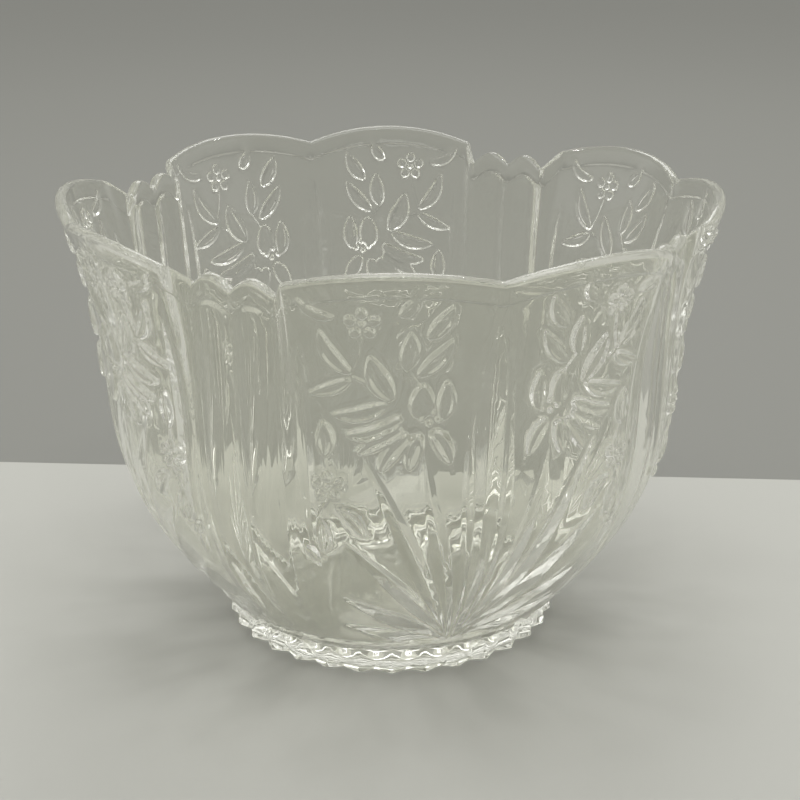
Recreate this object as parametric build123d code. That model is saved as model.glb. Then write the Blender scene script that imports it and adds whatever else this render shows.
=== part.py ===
from build123d import *
import os
from math import cos, pi, radians, sin, sqrt, tan

# Punch bowl of pressed clear glass, in millimetres, +Z up.
# Origin: centre of the foot, on the surface that the bowl stands on.
# The shape repeats every quarter turn. The V notches of the rim lie on +X, +Y, -X and -Y,
# and the four fluted columns lie half way between them.
# The glass is one pressing. It is written as four regions that meet face to face:
# the toothed foot ring, the floor, the upright wall and the flared, scalloped rim.

# Overall sizes
rim_diameter = 280.0         # across opposite panel crests
bowl_height = 190.0          # table to the highest point of the rim
body_diameter = 244.0        # upright part of the wall, below the flare
foot_diameter = 145.0        # over the tooth points

# Heights above the table
foot_height = 10.5           # underside of the bowl
body_height = 120.0          # where the rounded belly ends and the wall stands upright
flare_height = 95.0          # where the wall starts to lean outwards
rim_band_depth = 42.0        # flared rim region, measured down from the top

# Glass
wall_thickness = 5.0
floor_thickness = 9.0
foot_recess = 3.0            # hollow under the floor, so that only the foot ring rests
foot_ring_width = 14.0       # from the tooth roots inwards

# Foot teeth
tooth_count = 32
tooth_depth = 3.6            # root to point
tooth_bevel = 3.0            # slope on the upper edge of the teeth
neck_overhang = 1.5          # the wall leaves the foot this far outside the tooth points

# Shape of the belly and the flare
belly_fullness = 2.5         # larger is fuller near the foot
belly_softness = 1.15        # larger leaves the foot more gently
flare_power = 2.2            # larger keeps the flare nearer to the rim

# Shape in plan, in degrees from the middle of a column
flute_angle = 8.0            # width of each of a column's two flutes
shoulder_angle = 11.2        # where the floral panel starts
notch_angle = 45.0           # the V notch
column_flare = 0.35          # share of the flare that a column takes
shoulder_flare = 0.92        # share at the panel's shoulder
notch_flare = 0.86           # share at the V notch
flute_depth = 2.4            # how far a flute stands out from its creases
column_recess = 1.6          # how far the columns lie behind the panels

# Rim, as drops below the highest point
notch_drop = 6.0
shoulder_drop = 5.0
flute_crest_drop = 8.5
flute_dip_drop = 13.5

# Working values
rim_radius = rim_diameter / 2
body_radius = body_diameter / 2
tooth_point_radius = foot_diameter / 2
tooth_root_radius = tooth_point_radius - tooth_depth
neck_radius = tooth_point_radius + neck_overhang
foot_inner_radius = tooth_root_radius - foot_ring_width
floor_top = foot_recess + floor_thickness
rim_split_height = bowl_height - rim_band_depth
crest_angle = (shoulder_angle + notch_angle) / 2
trim_height = 4.0            # glass above the crests, which the rim cutters take off
section_count = 13           # horizontal sections that the wall is drawn through
plan_angles = [0, 1.5, 4, 6.5, 8, 9.5, 11.2, 15, 21, 28, 35, 40.5, 43.5, 45]


def eased(value, start, end):
    """Smooth rise from 0 at start to 1 at end."""
    share = min(1.0, max(0.0, (value - start) / (end - start)))
    return share * share * (3 - 2 * share)


def round_radius(z):
    """Radius of the plain round body."""
    rise = min(1.0, max(0.0, (z - foot_height) / (body_height - foot_height)))
    belly = (1 - (1 - rise) ** belly_fullness) ** belly_softness
    return neck_radius + (body_radius - neck_radius) * belly


def flare(z):
    """How far a panel leans out at this height."""
    rise = max(0.0, (z - flare_height) / (bowl_height - flare_height))
    return (rim_radius - body_radius) * rise ** flare_power


def flare_share(angle):
    """Share of the flare, from a column's middle to a V notch."""
    if angle <= shoulder_angle:
        step = eased(angle, flute_angle, shoulder_angle)
        return column_flare + (shoulder_flare - column_flare) * step
    if angle < crest_angle:
        edge_share, edge = shoulder_flare, shoulder_angle
    else:
        edge_share, edge = notch_flare, notch_angle
    away = (angle - crest_angle) / (edge - crest_angle)
    return 1 - (1 - edge_share) * away ** 2


def outer_radius(z, angle, with_flutes=True):
    belly_share = eased(z, foot_height, body_height)
    in_column = 1 - eased(angle, flute_angle, shoulder_angle)
    radius = round_radius(z) + flare(z) * flare_share(angle) - column_recess * in_column * belly_share
    if with_flutes and angle < flute_angle:
        radius += flute_depth * sin(pi * angle / flute_angle) * belly_share
    return radius


def inner_radius(z, angle):
    """The inside is smooth: the same wall without the flutes, set in by the thickness."""
    step = 0.5
    lean = (outer_radius(z + step, angle, False) - outer_radius(z, angle, False)) / step
    return outer_radius(z, angle, False) - wall_thickness * sqrt(1 + lean ** 2)


def plan_section(z, radius_at):
    """Closed four-fold outline at one height, an edge for each half of a lobe."""
    edges = []
    for quarter in range(4):
        for side in (-1, 1):
            turns = [(radians(90 * quarter + 45 + side * angle), angle) for angle in plan_angles[::side]]
            edges.append(Spline([
                (radius_at(z, angle) * cos(turn), radius_at(z, angle) * sin(turn), z)
                for turn, angle in turns
            ]))
    return make_face(Curve() + edges)


def drawn_solid(low, high, radius_at):
    """Solid through horizontal sections, closer together near the foot."""
    steps = [(index / (section_count - 1)) ** 1.4 for index in range(section_count)]
    return loft([plan_section(low + (high - low) * step, radius_at) for step in steps])


def rim_fan(side):
    """Cutter over an eighth of the rim: its lower edge is the rim's scalloped line."""
    middle = notch_angle / 2
    turn = radians(45 + side * middle)

    def across(distance):
        def point(angle, drop):
            return (side * distance * tan(radians(angle - middle)), bowl_height - drop)

        dip, low_end = point(0, flute_dip_drop), point(flute_angle, flute_dip_drop)
        shoulder, notch = point(shoulder_angle, shoulder_drop), point(notch_angle, notch_drop)
        edges = [
            ThreePointArc(dip, point(flute_angle / 2, flute_crest_drop), low_end),
            Line(low_end, shoulder),
            ThreePointArc(shoulder, point(crest_angle, 0), notch),
            Polyline(notch, point(notch_angle, -2 * trim_height), point(0, -2 * trim_height), dip),
        ]
        plane = Plane(
            origin=(distance * cos(turn), distance * sin(turn), 0),
            x_dir=(-sin(turn), cos(turn), 0),
            z_dir=(cos(turn), sin(turn), 0),
        )
        return plane * make_face(Curve() + edges)

    return loft([across(body_radius * 0.6), across(rim_radius * 1.3)], ruled=True)


def make_wall_and_rim():
    top = bowl_height + trim_height
    shell = drawn_solid(foot_height, top, outer_radius) - drawn_solid(floor_top, top, inner_radius)
    for quarter in range(4):
        for side in (-1, 1):
            shell -= Rot(0, 0, 90 * quarter) * rim_fan(side)
    core = Cylinder(foot_inner_radius, floor_top, align=(Align.CENTER, Align.CENTER, Align.MIN))
    shell -= core
    band = Pos(0, 0, rim_split_height) * Box(
        2 * rim_diameter, 2 * rim_diameter, bowl_height, align=(Align.CENTER, Align.CENTER, Align.MIN))
    return shell - band, shell & band


def make_floor():
    disc = Cylinder(foot_inner_radius, floor_thickness, align=(Align.CENTER, Align.CENTER, Align.MIN))
    return Pos(0, 0, foot_recess) * disc


def toothed_outline(z, inset):
    corners = []
    for index in range(2 * tooth_count):
        radius = (tooth_root_radius if index % 2 == 0 else tooth_point_radius) - inset
        turn = pi * index / tooth_count
        corners.append((radius * cos(turn), radius * sin(turn), z))
    return make_face(Polyline(*corners, close=True))


def make_foot_ring():
    bevel_start = foot_height - tooth_bevel
    teeth = extrude(toothed_outline(0, 0), amount=bevel_start)
    teeth += loft([toothed_outline(bevel_start, 0), toothed_outline(foot_height, tooth_bevel)], ruled=True)
    return teeth - Cylinder(foot_inner_radius, 3 * foot_height)


os.makedirs("parts", exist_ok=True)
bowl_wall, scalloped_rim = make_wall_and_rim()
nodes = {
    "foot_ring": make_foot_ring(),
    "bowl_floor": make_floor(),
    "bowl_wall": bowl_wall,
    "scalloped_rim": scalloped_rim,
}
for name, shape in nodes.items():
    print(name, "solids", len(shape.solids()), "volume", round(shape.volume))
    export_step(shape, f"parts/{name}.step")
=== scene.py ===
import math

import bpy
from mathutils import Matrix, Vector


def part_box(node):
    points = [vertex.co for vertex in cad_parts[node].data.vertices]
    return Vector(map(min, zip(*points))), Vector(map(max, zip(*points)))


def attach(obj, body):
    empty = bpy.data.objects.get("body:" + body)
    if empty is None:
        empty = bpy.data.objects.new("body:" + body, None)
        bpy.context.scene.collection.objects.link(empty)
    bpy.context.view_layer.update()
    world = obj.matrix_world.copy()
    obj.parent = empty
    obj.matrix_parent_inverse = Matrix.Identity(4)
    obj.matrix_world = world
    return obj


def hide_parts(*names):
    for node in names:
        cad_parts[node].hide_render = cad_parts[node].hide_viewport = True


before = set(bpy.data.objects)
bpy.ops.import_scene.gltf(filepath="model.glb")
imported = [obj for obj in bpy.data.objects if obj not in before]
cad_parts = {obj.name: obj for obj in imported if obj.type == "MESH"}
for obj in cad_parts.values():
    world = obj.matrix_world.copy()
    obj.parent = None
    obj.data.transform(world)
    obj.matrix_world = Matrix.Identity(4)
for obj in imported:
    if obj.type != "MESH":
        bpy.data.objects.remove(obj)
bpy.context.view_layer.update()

print("frame loaded:", len(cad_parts), "nodes")


# helpers for node trees

class Wire:                                     # a socket that can stand in a sum
    def __init__(self, maker, socket):
        self.maker = maker
        self.socket = socket

    def __add__(self, other):
        return self.maker.maths("ADD", self, other)

    def __sub__(self, other):
        return self.maker.maths("SUBTRACT", self, other)

    def __rsub__(self, other):
        return self.maker.maths("SUBTRACT", other, self)

    def __mul__(self, other):
        return self.maker.maths("MULTIPLY", self, other)

    def __truediv__(self, other):
        return self.maker.maths("DIVIDE", self, other)

    def __rtruediv__(self, other):
        return self.maker.maths("DIVIDE", other, self)

    def __pow__(self, other):
        return self.maker.maths("POWER", self, other)

    def __rpow__(self, other):
        return self.maker.maths("POWER", other, self)

    __radd__ = __add__
    __rmul__ = __mul__


class NodeMaker:                                # adds nodes to one tree
    def __init__(self, tree):
        self.tree = tree

    def feed(self, socket, value):
        if isinstance(value, Wire):
            value = value.socket
        if isinstance(value, bpy.types.NodeSocket):
            self.tree.links.new(value, socket)
        else:
            socket.default_value = value

    def add(self, kind, settings=None, values=None):
        node = self.tree.nodes.new(kind)
        for name, value in (settings or {}).items():
            setattr(node, name, value)
        for name, value in (values or {}).items():
            self.feed(node.inputs[name], value)
        return node

    def wire(self, kind, settings=None, values=None, output=0):
        return Wire(self, self.add(kind, settings, values).outputs[output])

    def maths(self, operation, *terms):
        return self.wire("ShaderNodeMath", {"operation": operation}, dict(enumerate(terms)))

    def vectors(self, operation, *terms):
        return self.wire("ShaderNodeVectorMath", {"operation": operation}, dict(enumerate(terms)))

    def scaled(self, vector, amount):
        return self.wire("ShaderNodeVectorMath", {"operation": "SCALE"}, {0: vector, "Scale": amount})

    def measure(self, operation, *terms):       # a vector sum that gives a number
        return self.wire("ShaderNodeVectorMath", {"operation": operation}, dict(enumerate(terms)), "Value")

    def parts(self, vector):                    # its x, y and z
        split = self.add("ShaderNodeSeparateXYZ", None, {0: vector})
        return [Wire(self, socket) for socket in split.outputs]

    def tinted(self, share, first, second):     # a colour between two
        return self.add("ShaderNodeMix", {"data_type": "RGBA"},
                        {"Factor": share, 6: first, 7: second}).outputs[2]

    def eased(self, value, start, end, low=0.0, high=1.0):
        return self.wire("ShaderNodeMapRange", {"interpolation_type": "SMOOTHSTEP"},
                         {0: value, 1: start, 2: end, 3: low, 4: high})


def geometryTree(name, inputs):                 # inputs: {name: (socket kind, starting value)}
    tree = bpy.data.node_groups.new(name, "GeometryNodeTree")
    tree.interface.new_socket("Geometry", in_out="INPUT", socket_type="NodeSocketGeometry")
    for label, (kind, value) in inputs.items():
        socket = tree.interface.new_socket(label, in_out="INPUT", socket_type="NodeSocket" + kind)
        if value is not None:
            socket.default_value = value
    tree.interface.new_socket("Geometry", in_out="OUTPUT", socket_type="NodeSocketGeometry")
    source = tree.nodes.new("NodeGroupInput")
    result = tree.nodes.new("NodeGroupOutput")
    return tree, NodeMaker(tree), source.outputs, result.inputs[0]


def useTree(piece, tree, values):
    modifier = piece.modifiers.new(tree.name, "NODES")
    modifier.node_group = tree
    for item in tree.interface.items_tree:
        if item.in_out == "INPUT" and item.name in values:
            modifier[item.identifier] = values[item.name]


def meshObject(name, points, faces=()):
    mesh = bpy.data.meshes.new(name)
    mesh.from_pydata(points, [], faces)
    made = bpy.data.objects.new(name, mesh)
    bpy.context.collection.objects.link(made)
    return made


def bakedMesh(piece):                           # the finished mesh with every modifier in it
    shapes = bpy.context.evaluated_depsgraph_get()
    return bpy.data.meshes.new_from_object(piece.evaluated_get(shapes))


# the bowl's sizes, in metres, taken from the CAD nodes

def widest(node):
    return max(math.hypot(*corner.co.xy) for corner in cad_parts[node].data.vertices)


bowl = {
    "height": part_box("scalloped_rim")[1].z,
    "rimRadius": widest("scalloped_rim"),
    "pointRadius": widest("foot_ring"),         # foot teeth, at their points
    "footHeight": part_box("foot_ring")[1].z,
    "footInner": widest("bowl_floor"),
    "recess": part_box("bowl_floor")[0].z,
    "floorTop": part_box("bowl_floor")[1].z,
    "bodyRadius": 0.122,
    "bodyHeight": 0.120,
    "flareHeight": 0.095,
    "thickness": 0.005,
    "neckOverhang": 0.0015,
    "toothDepth": 0.0036,
    "bellyFullness": 2.5,
    "bellySoftness": 1.15,
    "flarePower": 2.2,
    "columnRecess": 0.0016,
    "fluteDepth": 0.0024,
    "fluteTop": 0.0085,                         # the flutes round off this far under the rim
    "fluteTopShare": 0.7,
    "bandStep": 0.0007,                         # the plain band under the rim stands this far out
    "bandDepth": 0.0085,
    "bandEase": 0.0012,
    "fluteFade": 0.004,
    "footRows": [7, 6, 6, 3, 3, 2, 14, 3, 2, 2, 5, 5, 6, 3, 3, 4],      # between the foot's corners
    "neckRise": 0.0016,                         # the wall's rows start this far over the foot
    "wallStep": 0.00042,                        # row spacing on the outside
    "innerStep": 0.003,
    "lipRows": 12,
    "cornerRise": 0.009,                        # round corner between the inside wall and the floor
    "cornerReach": 0.012,
    "cornerRows": 8,
    "floorRows": 6,
    "topMargin": 0.0001,                        # keeps the lip under the top of the CAD rim
}

# the five outlines that the wall is blended from: share of the flare, drop below the crests
outlines = {
    "crest": {"flare": 1.0, "drop": 0.0, "column": 0, "flute": 0, "root": 0},
    "notch": {"flare": 0.86, "drop": 0.006, "column": 0, "flute": 0, "root": 0},
    "column": {"flare": 0.35, "drop": 0.0135, "column": 1, "flute": 0, "root": 0},
    "flute": {"flare": 0.35, "drop": 0.0085, "column": 1, "flute": 1, "root": 0},
    "root": {"flare": 1.0, "drop": 0.0, "column": 0, "flute": 0, "root": 1},
}


def easedNumber(value, start, end):
    share = min(1.0, max(0.0, (value - start) / (end - start)))
    return share * share * (3 - 2 * share)


def wallRadius(z, form):
    rise = min(1.0, max(0.0, (z - bowl["footHeight"]) / (bowl["bodyHeight"] - bowl["footHeight"])))
    neck = bowl["pointRadius"] + bowl["neckOverhang"]
    belly = (1 - (1 - rise) ** bowl["bellyFullness"]) ** bowl["bellySoftness"]
    lean = max(0.0, (z - bowl["flareHeight"]) / (bowl["height"] - bowl["flareHeight"]))
    radius = neck + (bowl["bodyRadius"] - neck) * belly
    radius += (bowl["rimRadius"] - bowl["bodyRadius"]) * lean ** bowl["flarePower"] * form["flare"]
    sunk = bowl["columnRecess"] * form["column"]
    return radius - sunk * easedNumber(z, bowl["footHeight"], bowl["bodyHeight"])


def innerRadius(z, form):
    step = 0.0005                               # for measuring the wall's slope
    slope = (wallRadius(z + step, form) - wallRadius(z, form)) / step
    return wallRadius(z, form) - bowl["thickness"] * math.sqrt(1 + slope ** 2)


def footOutline(form):
    point = bowl["pointRadius"] - bowl["toothDepth"] * form["root"]
    base = bowl["pointRadius"] - bowl["toothDepth"]
    inner, recess, top = bowl["footInner"], bowl["recess"], bowl["footHeight"]
    return [
        (0.0, recess), (inner * 0.35, recess), (inner * 0.7, recess), (inner - 0.003, recess),
        (inner - 0.0005, recess * 0.8), (inner + 0.0012, recess * 0.15), (inner + 0.0025, 0.0),
        (base - 0.002, 0.0), (point - 0.0009, 0.0), (point - 0.0002, 0.0005), (point, 0.0013),
        (point, top * 0.36), (point - 0.0006, top * 0.55), (base + 0.0008 * (1 - form["root"]), top * 0.82),
        (base - 0.0004, top * 0.93), (base + 0.0006, top), (bowl["pointRadius"] + 0.0004, top + 0.0006),
    ]


def sectionRows(form):
    top = bowl["height"] - bowl["topMargin"] - form["drop"]
    lip = (wallRadius(top, form) - innerRadius(top, form)) / 2
    shoulder = top - lip
    foot = footOutline(form)
    rows = []
    for corner, following, count in zip(foot, foot[1:], bowl["footRows"]):
        for part in range(count):
            share = part / count
            rows.append((corner[0] + (following[0] - corner[0]) * share,
                         corner[1] + (following[1] - corner[1]) * share))
    start = bowl["footHeight"] + bowl["neckRise"]
    wallCount = round((bowl["height"] - start) / bowl["wallStep"])
    fluteEnd = top - bowl["fluteTop"]
    for part in range(wallCount):                                        # outside, going up
        z = start + (shoulder - start) * part / wallCount
        radius = wallRadius(z, form)
        fluting = easedNumber(z, bowl["footHeight"], bowl["bodyHeight"])
        fluting *= 1 - bowl["fluteTopShare"] * easedNumber(z, fluteEnd - bowl["fluteFade"], fluteEnd)
        radius += bowl["fluteDepth"] * form["flute"] * fluting
        radius -= bowl["bandStep"] * easedNumber(top - z, bowl["bandDepth"],
                                                 bowl["bandDepth"] + bowl["bandEase"])
        rows.append((radius, z))
    outside = rows[-1][0]
    inside = innerRadius(shoulder, form)
    middle, half = (outside + inside) / 2, (outside - inside) / 2
    for part in range(bowl["lipRows"] + 1):                              # over the lip
        turn = math.pi * part / bowl["lipRows"]
        rows.append((middle + half * math.cos(turn), shoulder + lip * math.sin(turn)))
    corner = bowl["floorTop"] + bowl["cornerRise"]
    innerCount = round((bowl["height"] - corner) / bowl["innerStep"])
    for part in range(1, innerCount + 1):                                # inside, going down
        z = shoulder + (corner - shoulder) * part / innerCount
        rows.append((innerRadius(z, form), z))
    last, floorEdge = rows[-1], innerRadius(bowl["floorTop"], form) - bowl["cornerReach"]
    knee = (innerRadius(bowl["floorTop"] + 0.001, form), bowl["floorTop"])
    for part in range(1, bowl["cornerRows"] + 1):                        # round corner on to the floor
        share = part / bowl["cornerRows"]
        away, near, far = (1 - share) ** 2, 2 * share * (1 - share), share ** 2
        rows.append((last[0] * away + knee[0] * near + floorEdge * far,
                     last[1] * away + knee[1] * near + bowl["floorTop"] * far))
    for part in range(1, bowl["floorRows"] + 1):
        rows.append((floorEdge * (1 - part / bowl["floorRows"]), bowl["floorTop"]))
    reliefRow = len(foot) - 1 + sum(bowl["footRows"])                    # 16 rows above the wall's first
    return rows, reliefRow, wallCount


# relief: raised leaves and flowers, and cut lancets, laid out flat
# Places are (degrees from the V notch, millimetres above the table). They lie between
# a V notch at 0 degrees and a column's middle at 45, and every other eighth is mirrored.

relief = {
    "degreeWidth": 2.18,        # millimetres along the wall for a degree
    "leafHeight": 2.1,
    "leafSpread": 1.14,
    "cutSlope": 0.5,            # depth of a cut for its half width
    "cutClearance": 0.0004,     # no cut goes into relief that stands higher than this
    "beadRadius": 1.3,
    "stemHalfWidth": 0.0006,    # metres
    "leaves": [                 # base, tip, width, bend to the left of its way
        ((25.9, 172.5), (31.6, 179.5), 3.2, -0.16),
        ((23.9, 150.5), (28.4, 167.0), 5.6, -0.12),
        ((23.7, 148.0), (31.0, 141.5), 4.6, -0.06),
        ((17.8, 138.5), (27.3, 133.5), 5.8, -0.10),
        ((17.0, 140.0), (20.6, 157.5), 8.2, -0.08),
        ((15.0, 152.0), (14.3, 167.0), 6.2, 0.05),
        ((13.0, 149.5), (7.6, 163.5), 5.6, 0.06),
        ((11.6, 164.5), (8.0, 177.0), 5.8, 0.06),
        ((16.0, 173.5), (13.6, 181.0), 4.2, 0.08),
        ((8.6, 131.5), (8.2, 147.0), 6.6, 0.04),
        ((28.9, 116.5), (28.8, 130.5), 6.6, 0.05),
        ((22.2, 83.0), (27.0, 95.5), 5.2, 0.14),
        ((29.8, 75.5), (29.9, 90.0), 5.6, 0.04),
        ((31.2, 70.5), (33.3, 77.0), 3.4, 0.08),
    ],
    "petals": [                 # the large flower, drawn as leaves from its middle
        ((12.8, 132.5), (12.2, 146.0), 9.6, 0.04),
        ((15.6, 132.5), (25.0, 125.5), 7.0, -0.12),
        ((15.6, 128.0), (23.0, 118.0), 7.4, 0.02),
        ((14.4, 125.5), (19.2, 111.0), 7.4, 0.05),
        ((12.5, 125.5), (14.2, 111.5), 7.4, 0.04),
        ((10.4, 127.0), (7.2, 113.5), 7.6, -0.05),
    ],
    "smallFlowers": [((21.7, 170.5), 6.2), ((28.4, 104.0), 6.4)],        # middle, petal length
    "beads": [(12.3, 132.0), (10.6, 134.6), (13.6, 135.2), (9.4, 131.6), (11.0, 130.2)],
    "stems": [
        [(17.6, 139.0), (21.0, 146.0), (23.8, 149.0)],
        [(12.6, 143.5), (13.4, 147.5), (14.8, 152.0)],
        [(28.4, 108.5), (28.6, 112.5), (28.9, 116.5)],
        [(28.2, 99.5), (29.4, 94.5), (29.9, 90.0)],
        [(21.9, 165.0), (22.6, 158.0), (23.9, 150.5)],
    ],
    "lancets": [                # points up from the foot, widest half width, share of the way to it
        ([(0.0, 14), (0.0, 60), (0.0, 120), (0.0, 168)], 2.7, 0.72),
        ([(0.3, 15), (2.3, 55), (3.6, 100), (3.2, 149)], 1.15, 0.62),
        ([(0.6, 16), (5.0, 47), (9.0, 85), (11.4, 116)], 1.75, 0.6),
        ([(0.8, 17), (8.0, 46), (15.2, 84), (22.8, 121)], 1.9, 0.55),
        ([(1.0, 18), (9.5, 40), (17.5, 60), (26.4, 81)], 2.1, 0.55),
        ([(1.4, 19), (9.5, 29), (18.0, 39), (28.5, 51)], 2.3, 0.5),
        ([(2.2, 19), (10.0, 22), (19.0, 27), (30.0, 33)], 2.1, 0.5),
        ([(31.0, 58), (31.9, 90), (32.2, 130), (31.9, 163)], 1.4, 0.68),
    ],
}


def flat(place):
    return Vector((place[0] * relief["degreeWidth"] / 1000, place[1] / 1000))


def ribbon(points, faces, line, halfWidths, profile):          # strip along a line with a given section
    first = len(points)
    for index, middle in enumerate(line):
        before, after = line[max(0, index - 1)], line[min(len(line) - 1, index + 1)]
        along = (after - before).normalized()
        side = Vector((-along.y, along.x))
        for across, height in profile(halfWidths[index]):
            spot = middle + side * across * halfWidths[index]
            points.append((spot.x, spot.y, height))
    width = len(profile(1.0))
    for row in range(len(line) - 1):
        for column in range(width - 1):
            corner = first + row * width + column
            faces.append((corner, corner + 1, corner + width + 1, corner + width))


def leafProfile(halfWidth):
    full = relief["leafHeight"] / 1000
    half = [(1, 0), (0.92, full * 0.45), (0.8, full * 0.86), (0.68, full), (0.56, full * 0.9),
            (0.42, full * 0.5), (0.28, full * 0.36), (0.14, full * 0.5), (0.07, full * 0.62)]
    return [(-across, height) for across, height in half] + [(0, full * 0.62)] + half[::-1]


def petalProfile(halfWidth):
    full = relief["leafHeight"] / 1000
    half = [(1, 0), (0.85, full * 0.7), (0.62, full), (0.35, full * 0.75)]
    return [(-across, height) for across, height in half] + [(0, full * 0.5)] + half[::-1]


def beadProfile(halfWidth):
    full = relief["leafHeight"] / 1000
    return [(-1, 0), (-0.7, full * 0.8), (0, full * 1.1), (0.7, full * 0.8), (1, 0)]


def stemProfile(halfWidth):
    full = relief["leafHeight"] / 1000
    return [(-1, 0), (-0.3, full * 0.5), (0.3, full * 0.5), (1, 0)]


def cutProfile(halfWidth):
    deep = halfWidth * relief["cutSlope"]
    return [(-1, 0), (0, deep), (1, 0)]


def curveLine(points, count):                                  # smooth line through flat points
    line = []
    for index in range(count + 1):
        place = index / count * (len(points) - 1)
        part = min(int(place), len(points) - 2)
        share = place - part
        a, b = points[part], points[part + 1]
        before = points[max(0, part - 1)]
        after = points[min(len(points) - 1, part + 2)]
        line.append(0.5 * (2 * a + (b - before) * share
                           + (2 * before - 5 * a + 4 * b - after) * share ** 2
                           + (3 * a - before - 3 * b + after) * share ** 3))
    return line


def addLeaf(points, faces, base, tip, width, bend, profile=leafProfile, count=22, roundness=0.85):
    start, end = flat(base), flat(tip)
    side = Vector((start.y - end.y, end.x - start.x))
    line, halves = [], []
    for index in range(count + 1):
        share = index / count
        line.append(start.lerp(end, share) + side * bend * math.sin(math.pi * share))
        halves.append(width / 2000 * math.sin(math.pi * (0.02 + 0.96 * share) ** 0.85) ** roundness)
    ribbon(points, faces, line, halves, profile)


def raisedMould():
    points, faces = [], []
    for base, tip, width, bend in relief["leaves"]:
        addLeaf(points, faces, base, tip, width * relief["leafSpread"], bend)
    for base, tip, width, bend in relief["petals"]:
        addLeaf(points, faces, base, tip, width, bend, petalProfile, 22, 0.6)
    for middle, length in relief["smallFlowers"]:
        for index in range(5):
            turn = math.radians(90 + 72 * index)
            reach = [length * part for part in (0.34, 1.0)]
            ends = [(middle[0] + part * math.cos(turn) / relief["degreeWidth"],
                     middle[1] + part * math.sin(turn)) for part in reach]
            addLeaf(points, faces, ends[0], ends[1], length * 0.66, 0.0, petalProfile, 12, 0.6)
        addBead(points, faces, middle, length * 0.22)
    for middle in relief["beads"]:
        addBead(points, faces, middle, relief["beadRadius"])
    for stem in relief["stems"]:
        line = curveLine([flat(place) for place in stem], 14)
        ribbon(points, faces, line, [relief["stemHalfWidth"]] * len(line), stemProfile)
    return meshObject("raisedMould", points, faces)


def addBead(points, faces, middle, radius):
    reach = radius / relief["degreeWidth"]
    addLeaf(points, faces, (middle[0] - reach, middle[1]), (middle[0] + reach, middle[1]), radius * 2, 0.0,
            beadProfile, 10)


def cutMould():
    points, faces = [], []
    steps, narrowest = 60, 0.00005
    for places, halfWidth, peak in relief["lancets"]:
        line = curveLine([flat(place) for place in places], steps)
        full, halves = halfWidth * relief["degreeWidth"] / 1000, []
        for index in range(steps + 1):
            share = index / steps
            swell = share / peak if share < peak else (1 - share) / (1 - peak)
            halves.append(max(narrowest, full * math.sin(swell * math.pi / 2) ** 1.1))
        ribbon(points, faces, line, halves, cutProfile)
    return meshObject("cutMould", points, faces)


# one eighth of the bowl, then the whole bowl

layout = {
    "columns": 300,
    "notchAngle": 45.0,        # degrees from a V notch to the middle of a column
    "fluteAngle": 8.0,
    "shoulderAngle": 11.2,
    "teeth": 32,
    "blurSteps": 2,
    "plainRows": 4,            # rows at the end of the relief's that carry none
    "triangles": 23500,        # in an eighth, after thinning
    "closing": 0.00002,        # points nearer than this are joined, in an eighth
    "planeReach": 0.00012,     # points this near a mirror plane are drawn on to it
    "quarters": 4,
    "mergeDistance": 0.00006,  # the same between the eighths
    "waviness": 0.00012,       # unevenness of the pressed faces
    "waveScale": 30.0,
    "seed": 7,
}


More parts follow.
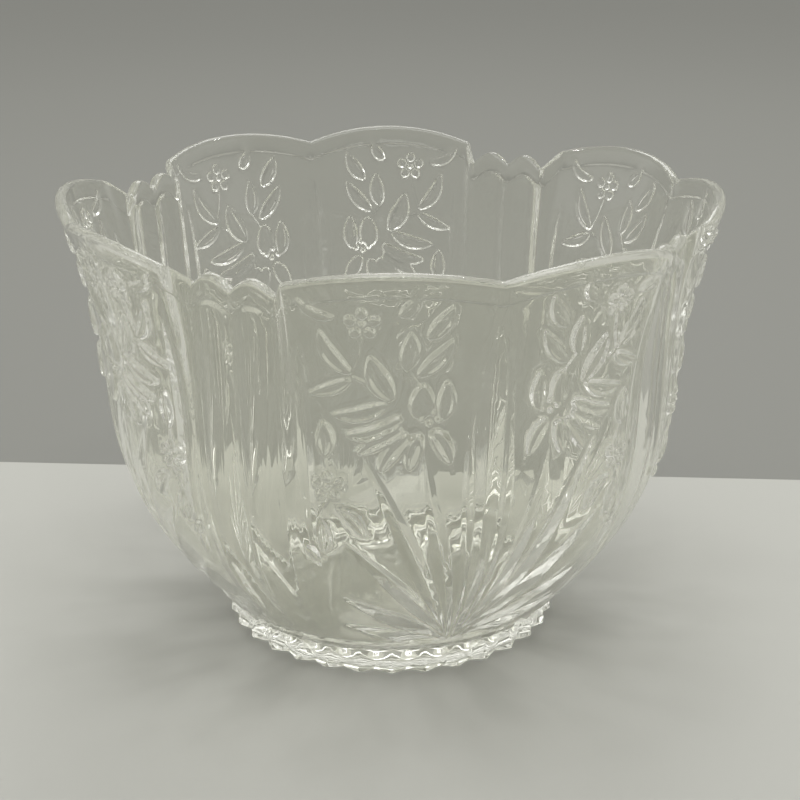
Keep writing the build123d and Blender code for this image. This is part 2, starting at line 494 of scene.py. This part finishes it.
def eighthTree():
    tree, make, source, result = geometryTree("bowlEighth", {
        "Columns": ("Int", 100),
        "Rows": ("Int", 100),
        "First Relief Row": ("Int", 0),
        "Last Relief Row": ("Int", 100),
        "Crest Outline": ("Object", None),
        "Notch Outline": ("Object", None),
        "Column Outline": ("Object", None),
        "Flute Outline": ("Object", None),
        "Root Outline": ("Object", None),
        "Raised Mould": ("Object", None),
        "Cut Mould": ("Object", None),
        "Degree Width": ("Float", 0.002),
        "Material": ("Material", None),
    })
    grid = make.add("GeometryNodeMeshGrid", None, {
        "Size X": 1.0, "Size Y": 1.0, "Vertices X": source["Columns"], "Vertices Y": source["Rows"]})
    position = make.add("GeometryNodeInputPosition").outputs[0]
    gridX, gridY = make.parts(position)[:2]
    row = make.maths("ROUND", (gridY + 0.5) * (Wire(make, source["Rows"]) - 1.0))
    angle = (gridX + 0.5) * layout["notchAngle"]                # degrees from the V notch
    fromColumn = layout["notchAngle"] - angle

    def outline(name):
        shape = make.add("GeometryNodeObjectInfo", None, {"Object": source[name + " Outline"]})
        return make.wire("GeometryNodeSampleIndex", {"data_type": "FLOAT_VECTOR", "domain": "POINT"},
                         {"Geometry": shape.outputs["Geometry"], "Value": position, "Index": row})

    def blend(first, second, share):
        node = make.add("ShaderNodeMix", {"data_type": "VECTOR"},
                        {"Factor": share, 4: first, 5: second})
        return Wire(make, node.outputs[1])

    crest, notch, column = outline("Crest"), outline("Notch"), outline("Column")
    flute, root = outline("Flute"), outline("Root")
    crestAngle = (layout["notchAngle"] - layout["shoulderAngle"]) / 2
    inColumn = make.eased(fromColumn, layout["fluteAngle"], layout["shoulderAngle"], 1.0, 0.0)
    side = make.maths("ABSOLUTE", (angle - crestAngle) / crestAngle)
    toNotch = make.maths("MINIMUM", side ** 2.0, 1.0)
    swell = make.maths("SINE", make.maths("MINIMUM", fromColumn / layout["fluteAngle"], 1.0) * math.pi)
    tooth = make.maths("PINGPONG", angle, 180.0 / layout["teeth"]) * (layout["teeth"] / 180.0)
    panel = blend(crest, notch, toNotch)
    fluted = blend(column, flute, make.maths("MAXIMUM", swell, 0.0))
    wall = blend(panel, fluted, inColumn)
    toothOffset = make.scaled(make.vectors("SUBTRACT", root, crest), 1.0 - tooth)
    shaped = make.parts(make.vectors("ADD", wall, toothOffset))
    radius, height = shaped[0], shaped[2]
    turn = angle * (math.pi / 180)
    spot = make.wire("ShaderNodeCombineXYZ", None, {
        0: radius * make.maths("COSINE", turn), 1: radius * make.maths("SINE", turn), 2: height})

    def mouldHeight(name):
        mould = make.add("GeometryNodeObjectInfo", None, {"Object": source[name + " Mould"]})
        above = make.wire("ShaderNodeCombineXYZ", None,
                          {0: angle * source["Degree Width"], 1: height, 2: 1.0})
        hit = make.add("GeometryNodeRaycast", None, {
            "Target Geometry": mould.outputs["Geometry"], "Source Position": above,
            "Ray Direction": (0.0, 0.0, -1.0), "Ray Length": 2.0})
        return make.parts(hit.outputs["Hit Position"])[2] * hit.outputs["Is Hit"]

    raised, cut = mouldHeight("Raised"), mouldHeight("Cut")
    clear = make.eased(raised, 0.0, relief["cutClearance"], 1.0, 0.0)
    onWall = (make.maths("GREATER_THAN", row, source["First Relief Row"])
              * make.maths("LESS_THAN", row, source["Last Relief Row"]))
    lift = (raised - cut * clear) * onWall
    softened = make.wire("GeometryNodeBlurAttribute", {"data_type": "FLOAT"},
                         {"Value": lift, "Iterations": layout["blurSteps"]})
    # the lift is kept on the flat grid, because its raycasts would read the shaped wall otherwise
    noted = make.wire("GeometryNodeStoreNamedAttribute", {"data_type": "FLOAT", "domain": "POINT"},
                      {"Geometry": grid.outputs["Mesh"], "Name": "lift", "Value": softened})
    placed = make.wire("GeometryNodeSetPosition", None, {"Geometry": noted, "Position": spot})
    kept = make.wire("GeometryNodeInputNamedAttribute", {"data_type": "FLOAT"}, {"Name": "lift"})
    offset = make.scaled(make.add("GeometryNodeInputNormal").outputs[0], kept)
    carved = make.wire("GeometryNodeSetPosition", None, {"Geometry": placed, "Offset": offset})
    bare = make.wire("GeometryNodeRemoveAttribute", None, {"Geometry": carved, "Name": "lift"})
    closed = make.wire("GeometryNodeMergeByDistance", None,
                       {"Geometry": bare, "Distance": layout["closing"]})
    real = make.wire("GeometryNodeRealizeInstances", None, {"Geometry": closed})
    make.feed(result, make.wire("GeometryNodeSetMaterial", None, {
        "Geometry": real, "Material": source["Material"]}))
    return tree


def wholeTree():
    tree, make, source, result = geometryTree("bowlWhole", {
        "Quarters": ("Int", 4),
        "Merge Distance": ("Float", 0.00006),
        "Waviness": ("Float", 0.0001),
        "Wave Scale": ("Float", 30.0),
        "Seed": ("Int", 7),
        "Material": ("Material", None),
    })
    x, y, z = make.parts(make.add("GeometryNodeInputPosition").outputs[0])
    near = layout["planeReach"]
    onFirst = make.maths("LESS_THAN", make.maths("ABSOLUTE", y), near)
    onSecond = make.maths("LESS_THAN", make.maths("ABSOLUTE", x - y), near * math.sqrt(2))
    middle = (x + y) * 0.5
    flatX = x + (middle - x) * onSecond
    flatY = y * (1.0 - onFirst)
    flatY = flatY + (middle - flatY) * onSecond
    snapped = make.wire("GeometryNodeSetPosition", None, {
        "Geometry": source["Geometry"],
        "Position": make.wire("ShaderNodeCombineXYZ", None, {0: flatX, 1: flatY, 2: z})})
    mirrored = make.wire("GeometryNodeTransform", None, {"Geometry": snapped, "Scale": (1.0, -1.0, 1.0)})
    turned = make.wire("GeometryNodeFlipFaces", None, {"Mesh": mirrored})
    quarter = make.add("GeometryNodeJoinGeometry")
    make.tree.links.new(snapped.socket, quarter.inputs[0])
    make.tree.links.new(turned.socket, quarter.inputs[0])
    spots = make.wire("GeometryNodeMeshLine", None, {"Count": source["Quarters"], "Offset": (0.0, 0.0, 0.0)})
    index = Wire(make, make.add("GeometryNodeInputIndex").outputs[0])
    spin = make.wire("ShaderNodeCombineXYZ", None, {2: index * (math.pi * 2) / source["Quarters"]})
    copies = make.wire("GeometryNodeInstanceOnPoints", None, {
        "Points": spots, "Instance": quarter.outputs[0], "Rotation": spin})
    whole = make.wire("GeometryNodeRealizeInstances", None, {"Geometry": copies})
    joined = make.wire("GeometryNodeMergeByDistance", None, {
        "Geometry": whole, "Distance": source["Merge Distance"]})
    ripple = make.add("ShaderNodeTexNoise", {"noise_dimensions": "4D"}, {
        "W": Wire(make, source["Seed"]) * 1.7, "Scale": source["Wave Scale"], "Detail": 1.0})
    amount = (Wire(make, ripple.outputs[0]) - 0.5) * source["Waviness"]
    amount = amount * make.eased(z, 0.001, 0.004)               # the foot's face stays flat
    push = make.scaled(make.add("GeometryNodeInputNormal").outputs[0], amount)
    waved = make.wire("GeometryNodeSetPosition", None, {"Geometry": joined, "Offset": push})
    smooth = make.wire("GeometryNodeSetShadeSmooth", None, {"Geometry": waved})
    real = make.wire("GeometryNodeRealizeInstances", None, {"Geometry": smooth})
    make.feed(result, make.wire("GeometryNodeSetMaterial", None, {
        "Geometry": real, "Material": source["Material"]}))
    return tree


glassLook = {
    "tints": ((0.975, 0.977, 0.935, 1), (0.96, 0.963, 0.905, 1)),
    "broadScale": 16.0,
    "fineScale": 190.0,
    "fineShare": 0.06,          # of the fine unevenness in the bump
    "bumpStrength": 0.08,
    "bumpDistance": 0.0006,
    "roughness": (0.004, 0.05),
    "refraction": 1.52,
}


def clearGlass():
    material = bpy.data.materials.new("clearPressedGlass")
    material.use_nodes = True
    material.node_tree.nodes.clear()
    make = NodeMaker(material.node_tree)
    place = make.add("ShaderNodeTexCoord").outputs["Object"]
    broad = make.wire("ShaderNodeTexNoise", None,
                      {"Vector": place, "Scale": glassLook["broadScale"], "Detail": 2.0})
    fine = make.wire("ShaderNodeTexNoise", None,
                     {"Vector": place, "Scale": glassLook["fineScale"], "Detail": 3.0})
    bump = make.add("ShaderNodeBump", None, {
        "Strength": glassLook["bumpStrength"], "Distance": glassLook["bumpDistance"],
        "Height": broad + fine * glassLook["fineShare"]})
    glass = make.add("ShaderNodeBsdfPrincipled", None, {
        "Base Color": make.tinted(broad, *glassLook["tints"]),
        "Roughness": make.eased(fine, 0.35, 0.8, *glassLook["roughness"]),
        "Normal": bump.outputs[0], "IOR": glassLook["refraction"], "Transmission Weight": 1.0})
    out = make.add("ShaderNodeOutputMaterial")
    make.feed(out.inputs["Surface"], glass.outputs[0])
    return material


def makeBowl():
    glass = clearGlass()
    outlinesMade = {}
    for name, form in outlines.items():
        rows, reliefRow, wallCount = sectionRows(form)
        points = [(radius, 0, z) for radius, z in rows]
        outlinesMade[name.capitalize() + " Outline"] = meshObject(name + "Outline", points)
    moulds = {"Raised Mould": raisedMould(), "Cut Mould": cutMould()}
    print("outlines:", len(rows), "rows, relief from row", reliefRow)
    eighth = meshObject("bowlEighth", [(0, 0, 0)])
    useTree(eighth, eighthTree(), {
        "Columns": layout["columns"] + 1, "Rows": len(rows),
        "First Relief Row": reliefRow, "Last Relief Row": reliefRow + wallCount - layout["plainRows"],
        "Degree Width": relief["degreeWidth"] / 1000, "Material": glass, **outlinesMade, **moulds})
    fine = bakedMesh(eighth)
    print("eighth:", len(fine.polygons), "faces before thinning")
    thin = bpy.data.objects.new("thinEighth", fine)
    bpy.context.collection.objects.link(thin)
    decimate = thin.modifiers.new("thin", "DECIMATE")
    decimate.ratio = layout["triangles"] / (2 * len(fine.polygons))
    useTree(thin, wholeTree(), {
        "Quarters": layout["quarters"], "Merge Distance": layout["mergeDistance"],
        "Waviness": layout["waviness"], "Wave Scale": layout["waveScale"], "Seed": layout["seed"],
        "Material": glass})
    whole = bpy.data.objects.new("punchBowlGlass", bakedMesh(thin))
    bpy.context.collection.objects.link(whole)
    whole.data.materials.clear()
    whole.data.materials.append(glass)
    for helper in [eighth, thin, *outlinesMade.values(), *moulds.values()]:
        bpy.data.objects.remove(helper)
    print("bowl:", len(whole.data.polygons), "faces")
    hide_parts("foot_ring", "bowl_floor", "bowl_wall", "scalloped_rim")
    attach(whole, "root")


# table, backdrop, light and camera

stage = {
    "viewTurn": -17.4,          # degrees round the bowl from its front V notch
    "tableBack": 0.150,         # the table ends this far behind the bowl's middle
    "tableSkew": -3.4,
    "tableColour": (0.525, 0.525, 0.478, 1),
    "tableGap": 0.0002,         # keeps the table's face clear of the foot's
    "backColour": (0.262, 0.262, 0.237, 1),
    "sideColour": (0.42, 0.42, 0.385, 1),
    "worldColour": (0.30, 0.30, 0.27, 1),
    "sideWall": (0.36, 0.36, 0.33, 1),
    "ceiling": (0.5, 0.5, 0.465, 1),
    "ceilingStart": 0.4,        # how steeply up the room has the whole of the ceiling's colour
    "window": (0.75, 0.75, 0.72, 1),
    "windowEdge": 0.72,         # cosines of the angle from straight sideways
    "windowFull": 0.9,
    "ceilingLamps": (1.2, 1.2, 1.14, 1),
    "lampsStart": 0.74,         # how steeply up the ceiling's bright lamps begin
    "lampsFull": 0.92,
    "greyInside": 0.965,        # cosines of the angle from straight behind, seen from viewDistance
    "brightBeyond": 0.86,
    "viewDistance": 0.677,      # from the bowl's middle, level with the table
    "worldLight": 0.75,
    "glassLight": 0.95,         # the room's light on the table through the glass
    "tableDrop": 0.004,         # thickness of the table top
    "tableReach": 3.0,
    "backSize": 30.0,
    "tableGrain": 5.0,
    "backGrain": 1.5,
    "unevenness": 0.97,         # the darker patches' share of a colour
    "roughness": 0.55,
    "paintedShadowStreaks": {                # painted shadow: dark rays on the table round the foot, standing in for the streaked shade that the glass throws
        "colour": (0.42, 0.42, 0.378, 1),
        "count": 3.4,
        "twist": 15.0,
        "foot": 0.06,           # they begin here, are full at the next, and end at the last
        "inner": 0.076,
        "outer": 0.2,
    },
}


def sideShare(make, way):                                       # 0 straight behind the bowl, 1 at the sides
    forward = viewWays()[0]
    level = make.vectors("NORMALIZE", make.vectors("MULTIPLY", way, (1.0, 1.0, 0.0)))
    ahead = make.measure("DOT_PRODUCT", level, (forward.x, forward.y, 0.0))
    return make.eased(ahead, stage["greyInside"], stage["brightBeyond"])


def plainMaterial(name, colour, grain, sideColour=None, paintedShadowStreaks=None):
    material = bpy.data.materials.new(name)
    material.use_nodes = True
    material.node_tree.nodes.clear()
    make = NodeMaker(material.node_tree)
    place = make.add("ShaderNodeTexCoord").outputs["Object"]
    cloud = make.wire("ShaderNodeTexNoise", None, {"Vector": place, "Scale": grain, "Detail": 3.0})
    darker = tuple(part * stage["unevenness"] for part in colour[:3]) + (1,)
    paint = make.tinted(cloud, colour, darker)
    # painted shadow: the table's colour is darkened in rays round the foot, where the glass's streaked shade
    # falls
    if paintedShadowStreaks:
        level = make.vectors("MULTIPLY", place, (1.0, 1.0, 0.0))
        away = make.measure("LENGTH", level)
        rise = make.wire("ShaderNodeCombineXYZ", None, {2: away * paintedShadowStreaks["twist"]})
        ring = make.vectors("MULTIPLY", make.vectors("NORMALIZE", level), (paintedShadowStreaks["count"],) * 3)
        light = make.wire("ShaderNodeTexNoise", None,
                          {"Vector": make.vectors("ADD", ring, rise), "Scale": 1.0, "Detail": 2.0})
        paintedShadeRing = make.eased(away, paintedShadowStreaks["inner"], paintedShadowStreaks["outer"], 1.0, 0.0)
        paintedShadeRing = paintedShadeRing * make.eased(away, paintedShadowStreaks["foot"], paintedShadowStreaks["inner"])          # none of it under the foot
        paint = make.tinted(paintedShadeRing * make.eased(light, 0.3, 0.68), paint, paintedShadowStreaks["colour"])
    if sideColour:
        viewer = viewWays()[0] * -stage["viewDistance"]
        way = make.vectors("SUBTRACT", place, (viewer.x, viewer.y, 0.0))
        paint = make.tinted(sideShare(make, way), paint, sideColour)
    surface = make.add("ShaderNodeBsdfPrincipled", None, {
        "Base Color": paint, "Roughness": stage["roughness"], "Specular IOR Level": 0.3})
    out = make.add("ShaderNodeOutputMaterial")
    make.feed(out.inputs["Surface"], surface.outputs[0])
    return material


def viewWays(skew=0.0):                                         # directions: to the back, to the right
    turn = math.radians(stage["viewTurn"] + skew)
    forward = Vector((-math.sin(turn), math.cos(turn)))
    return forward, Vector((forward.y, -forward.x))


def makeStage():
    forward, across = viewWays(stage["tableSkew"])
    far, drop, reach = stage["tableBack"], stage["tableDrop"], stage["tableReach"]
    corners = [across * -reach + forward * -reach, across * reach + forward * -reach,
               across * reach + forward * far, across * -reach + forward * far]
    points = [(c.x, c.y, -stage["tableGap"]) for c in corners] + [(c.x, c.y, -drop) for c in corners]
    sides = [(i, i + 4, (i + 1) % 4 + 4, (i + 1) % 4) for i in range(4)]
    table = meshObject("tableTop", points, [(0, 1, 2, 3)] + sides)
    table.data.materials.append(plainMaterial(
        "paleTable", stage["tableColour"], stage["tableGrain"], None, stage["paintedShadowStreaks"]))
    size = stage["backSize"]
    floor = [(-size, -size, -drop), (size, -size, -drop), (size, size, -drop), (-size, size, -drop)]
    back = meshObject("backdropFloor", floor, [(0, 1, 2, 3)])
    back.data.materials.append(plainMaterial(
        "greyBackdrop", stage["backColour"], stage["backGrain"], stage["sideColour"]))


lamps = {                       # place seen from the bowl: right, back, up; disk size; power
    "softBack": ((0.1, 1.1, 1.5), 1.0, 7.5),
    "softFront": ((0.0, -0.4, 1.5), 1.0, 3.5),
    "sparkLeft": ((-0.7, 0.5, 1.2), 0.05, 0.5),
    "sparkRight": ((0.6, 0.3, 1.3), 0.05, 0.5),
    "sparkFront": ((0.15, -0.9, 1.2), 0.05, 0.5),
}


def addLamp(name, place, size, power):
    data = bpy.data.lights.new(name, "AREA")
    data.shape = "DISK"
    data.size = size
    data.energy = power
    lamp = bpy.data.objects.new(name, data)
    lamp.location = place
    aim = Vector((0, 0, bowl["height"] * 0.5)) - Vector(place)
    lamp.rotation_euler = aim.to_track_quat("-Z", "Y").to_euler()
    bpy.context.collection.objects.link(lamp)


def makeLight():
    world = bpy.data.worlds.new("room")
    bpy.context.scene.world = world
    world.use_nodes = True
    world.node_tree.nodes.clear()
    make = NodeMaker(world.node_tree)
    path = make.add("ShaderNodeLightPath")
    through = path.outputs["Is Transmission Ray"]
    seen = make.maths("MAXIMUM", path.outputs["Is Camera Ray"],
                      make.maths("MAXIMUM", path.outputs["Is Glossy Ray"], through))
    seen = seen * make.maths("LESS_THAN", path.outputs["Diffuse Depth"], 0.5)      # not by way of the table
    way = make.add("ShaderNodeTexCoord").outputs["Generated"]
    upward = make.parts(way)[2]
    forward, across = viewWays()
    sideward = make.maths("ABSOLUTE", make.measure("DOT_PRODUCT", way, (across.x, across.y, 0.0)))
    room = stage["worldColour"]
    for share, colour in (
            (sideShare(make, way), "sideWall"),
            (make.eased(upward, 0.0, stage["ceilingStart"]), "ceiling"),
            (make.eased(sideward, stage["windowEdge"], stage["windowFull"]), "window"),
            (make.eased(upward, stage["lampsStart"], stage["lampsFull"]), "ceilingLamps")):
        room = make.tinted(share, room, stage[colour])
    strength = Wire(make, through) * (stage["glassLight"] - stage["worldLight"]) + stage["worldLight"]
    lit = make.add("ShaderNodeBackground", None, {"Color": (1, 1, 1, 1), "Strength": strength})
    shown = make.add("ShaderNodeBackground", None, {"Color": room, "Strength": 1.0})
    mix = make.add("ShaderNodeMixShader", None, {0: seen, 1: lit.outputs[0], 2: shown.outputs[0]})
    out = make.add("ShaderNodeOutputWorld")
    make.feed(out.inputs["Surface"], mix.outputs[0])
    for name, ((right, back, up), size, power) in lamps.items():
        place = across * right + forward * back
        addLamp(name, (place.x, place.y, up), size, power)


view = {
    "lens": 74.25,
    "sensor": 36.0,
    "shift": 0.0117,
    "height": 0.3395,
    "pitch": 19.87,             # degrees downwards
}


def makeCamera():
    data = bpy.data.cameras.new("camera")
    data.lens = view["lens"]
    data.sensor_width = view["sensor"]
    data.shift_x = view["shift"]
    camera = bpy.data.objects.new("camera", data)
    turn, distance = math.radians(stage["viewTurn"]), stage["viewDistance"]
    camera.location = (distance * math.sin(turn), -distance * math.cos(turn), view["height"])
    camera.rotation_euler = (math.radians(90 - view["pitch"]), 0, turn)
    bpy.context.collection.objects.link(camera)
    bpy.context.scene.camera = camera


bpy.context.scene.view_settings.view_transform = "Standard"
paths, turns = bpy.context.scene.cycles, 64         # light leaves thick glass only after many turns
paths.max_bounces = paths.transmission_bounces = paths.glossy_bounces = turns
makeCamera()
makeStage()
makeLight()
print("stage ready")
makeBowl()
